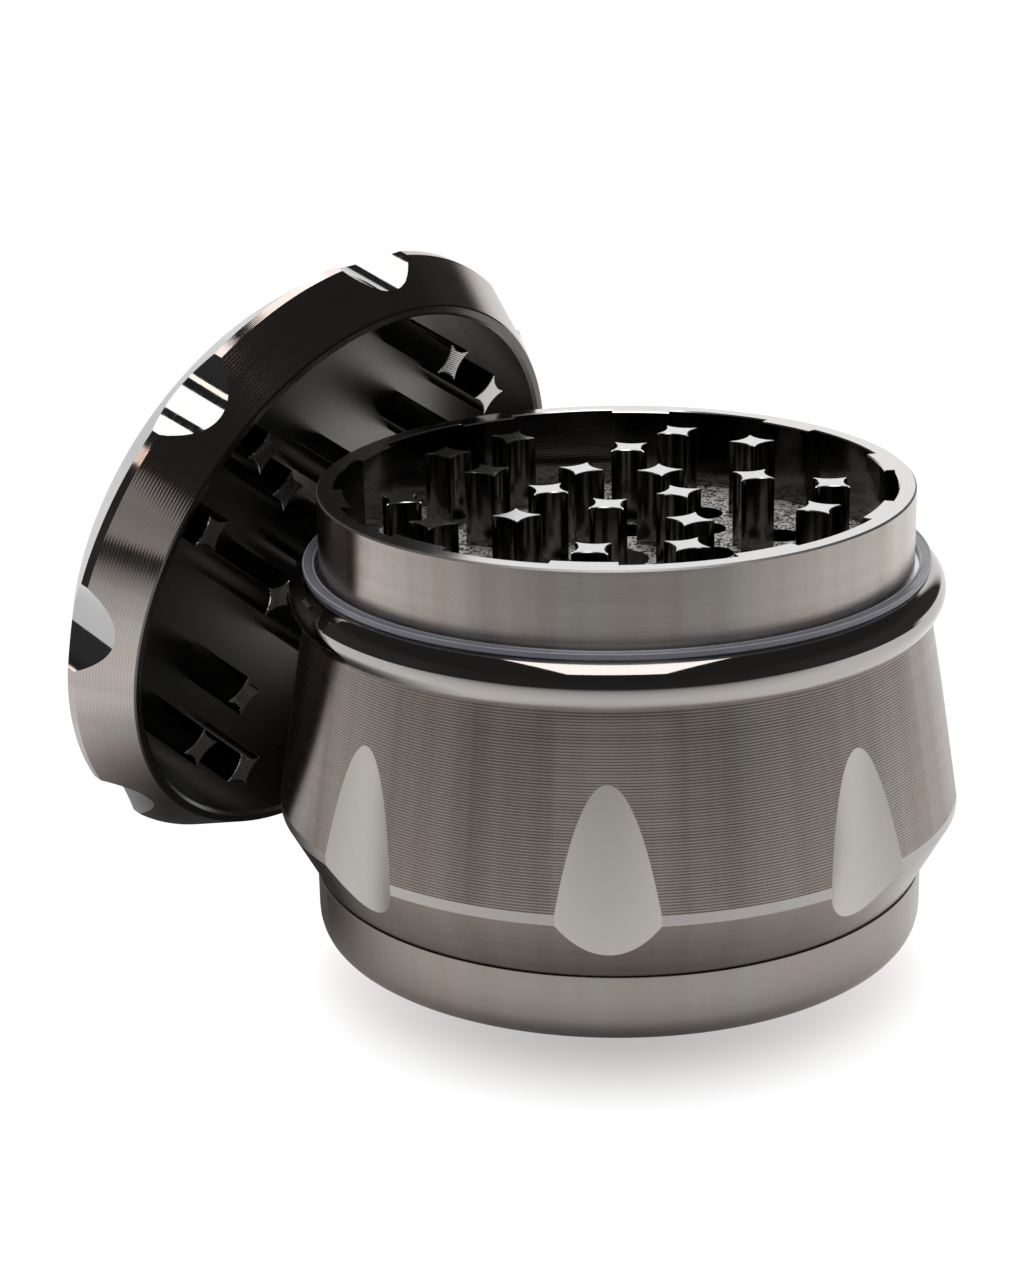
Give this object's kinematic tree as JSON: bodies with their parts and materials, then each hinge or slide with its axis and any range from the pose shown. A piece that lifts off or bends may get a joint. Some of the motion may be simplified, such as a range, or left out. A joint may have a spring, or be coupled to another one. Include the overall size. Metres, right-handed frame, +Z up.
{
  "type": "herb grinder",
  "caption": "Fluted drum-shaped metal grinder: toothed chamber over a sieve drum and catch bowl, with its toothed lid off and leaning.",
  "frame": {"origin": "centre of the catch bowl's flat underside", "axes": "+Z up along the drum's axis; -Y faces the viewer; the lid leans at -X, +Y"},
  "size_m": [0.0828, 0.078, 0.0599],
  "materials": {
    "gunmetal": "satin gun-metal plate",
    "nylon": "translucent, smooth",
    "steel_mesh": "fine woven wire",
    "nickel": "bright nickel plate"
  },
  "bodies": {
    "base": {"catch_bowl": "gunmetal"},
    "sieve_lift": {"mesh_screen": "steel_mesh", "screen_ring": "nickel"},
    "sieve": {"sieve_drum": "gunmetal"},
    "chamber_lift": {"friction_ring": "nylon"},
    "chamber": {"tooth_chamber": "gunmetal", "chamber_teeth": "gunmetal", "chamber_magnet": "nickel"},
    "lid_lift": {"lid_magnet": "nickel"},
    "lid": {"lid_cap": "gunmetal", "lid_teeth": "gunmetal"}
  },
  "joints": [
    {"name": "sieve_rise", "type": "slide", "parent": "base", "child": "sieve_lift", "axis": [0, 0, 1], "range_m": [0, 0.0046]},
    {"name": "sieve_turn", "type": "hinge", "parent": "sieve_lift", "child": "sieve", "pos_m": [0, 0, 0.009], "axis": [0, 0, 1], "range_deg": [0, 1080]},
    {"name": "chamber_rise", "type": "slide", "parent": "sieve_lift", "child": "chamber_lift", "axis": [0, 0, 1], "range_m": [0, 0.0046]},
    {"name": "chamber_turn", "type": "hinge", "parent": "chamber_lift", "child": "chamber", "pos_m": [0, 0, 0.0285], "axis": [0, 0, 1], "range_deg": [0, 1080]},
    {"name": "lid_draw", "type": "slide", "parent": "chamber_lift", "child": "lid_lift", "axis": [-0.7534, 0.5865, 0.2974], "range_m": [0, 0.04]},
    {"name": "lid_turn", "type": "hinge", "parent": "lid_lift", "child": "lid", "pos_m": [-0.02596, 0.0178, 0.02836], "axis": [0.7534, -0.5865, -0.2974], "continuous": true}
  ],
  "couplings": [
    {"joint": "sieve_rise", "follows": "sieve_turn", "m_per_rad": 0.00023873},
    {"joint": "chamber_rise", "follows": "chamber_turn", "m_per_rad": 0.00023873}
  ]
}
